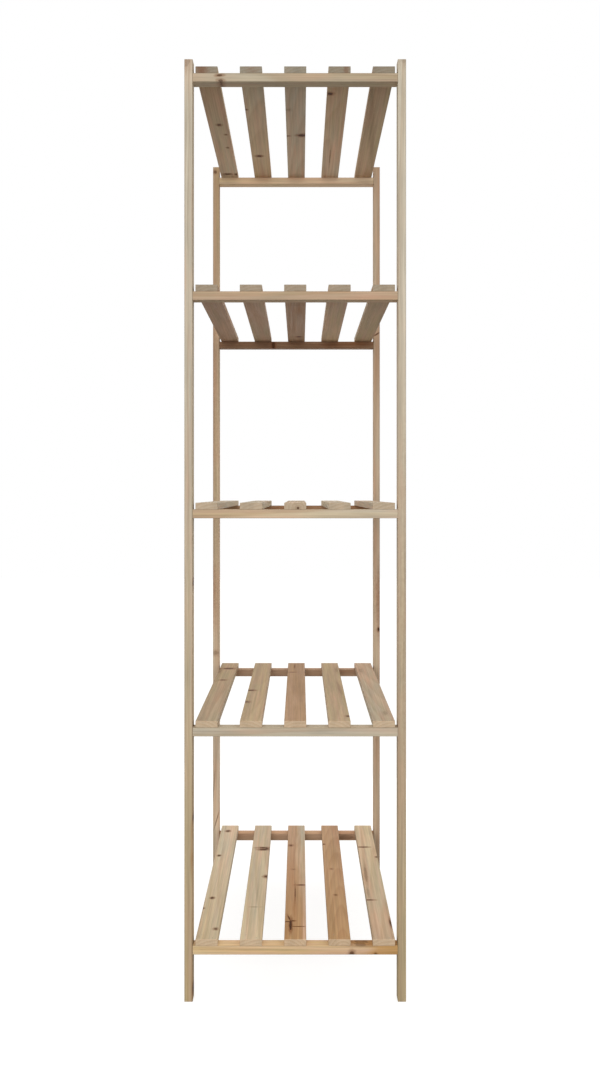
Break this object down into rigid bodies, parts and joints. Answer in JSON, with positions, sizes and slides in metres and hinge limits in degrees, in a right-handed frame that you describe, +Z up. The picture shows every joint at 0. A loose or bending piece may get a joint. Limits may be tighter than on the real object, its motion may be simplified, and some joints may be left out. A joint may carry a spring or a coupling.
{
  "type": "slatted shelving unit",
  "caption": "Tall open shelving unit: slim wooden posts carry slatted decks nailed across front and rear rails, for storing or displaying goods.",
  "frame": {"origin": "on the floor under the middle of the unit", "axes": "+Z up along the posts, +X to the right and +Y to the rear as seen from the front, the side that the picture shows"},
  "size_m": [0.4, 0.5, 1.7],
  "materials": {
    "fir_pale": "matte",
    "fir_honey": "matte",
    "fir_russet": "matte",
    "zinc_screws": "satin",
    "steel_brads": "satin"
  },
  "bodies": {
    "root": {"post_front_left": "fir_pale", "post_front_left_screws": "zinc_screws", "post_front_right": "fir_pale", "post_front_right_screws": "zinc_screws", "post_rear_left": "fir_russet", "post_rear_left_screws": "zinc_screws", "post_rear_right": "fir_russet", "post_rear_right_screws": "zinc_screws", "shelf_1_front_rail": "fir_honey", "shelf_1_rear_rail": "fir_russet", "shelf_1_slat_1": "fir_pale", "shelf_1_slat_2": "fir_pale", "shelf_1_slat_3": "fir_russet", "shelf_1_slat_4": "fir_russet", "shelf_1_slat_5": "fir_honey", "shelf_1_brads": "steel_brads", "shelf_2_front_rail": "fir_pale", "shelf_2_rear_rail": "fir_russet", "shelf_2_slat_1": "fir_pale", "shelf_2_slat_2": "fir_honey", "shelf_2_slat_3": "fir_russet", "shelf_2_slat_4": "fir_honey", "shelf_2_slat_5": "fir_honey", "shelf_2_brads": "steel_brads", "shelf_3_front_rail": "fir_honey", "shelf_3_rear_rail": "fir_russet", "shelf_3_slat_1": "fir_pale", "shelf_3_slat_2": "fir_pale", "shelf_3_slat_3": "fir_pale", "shelf_3_slat_4": "fir_pale", "shelf_3_slat_5": "fir_pale", "shelf_3_brads": "steel_brads", "shelf_4_front_rail": "fir_honey", "shelf_4_rear_rail": "fir_russet", "shelf_4_slat_1": "fir_pale", "shelf_4_slat_2": "fir_honey", "shelf_4_slat_3": "fir_honey", "shelf_4_slat_4": "fir_pale", "shelf_4_slat_5": "fir_pale", "shelf_4_brads": "steel_brads", "shelf_5_front_rail": "fir_pale", "shelf_5_rear_rail": "fir_honey", "shelf_5_slat_1": "fir_pale", "shelf_5_slat_2": "fir_honey", "shelf_5_slat_3": "fir_pale", "shelf_5_slat_4": "fir_honey", "shelf_5_slat_5": "fir_pale", "shelf_5_brads": "steel_brads"}
  },
  "joints": []
}
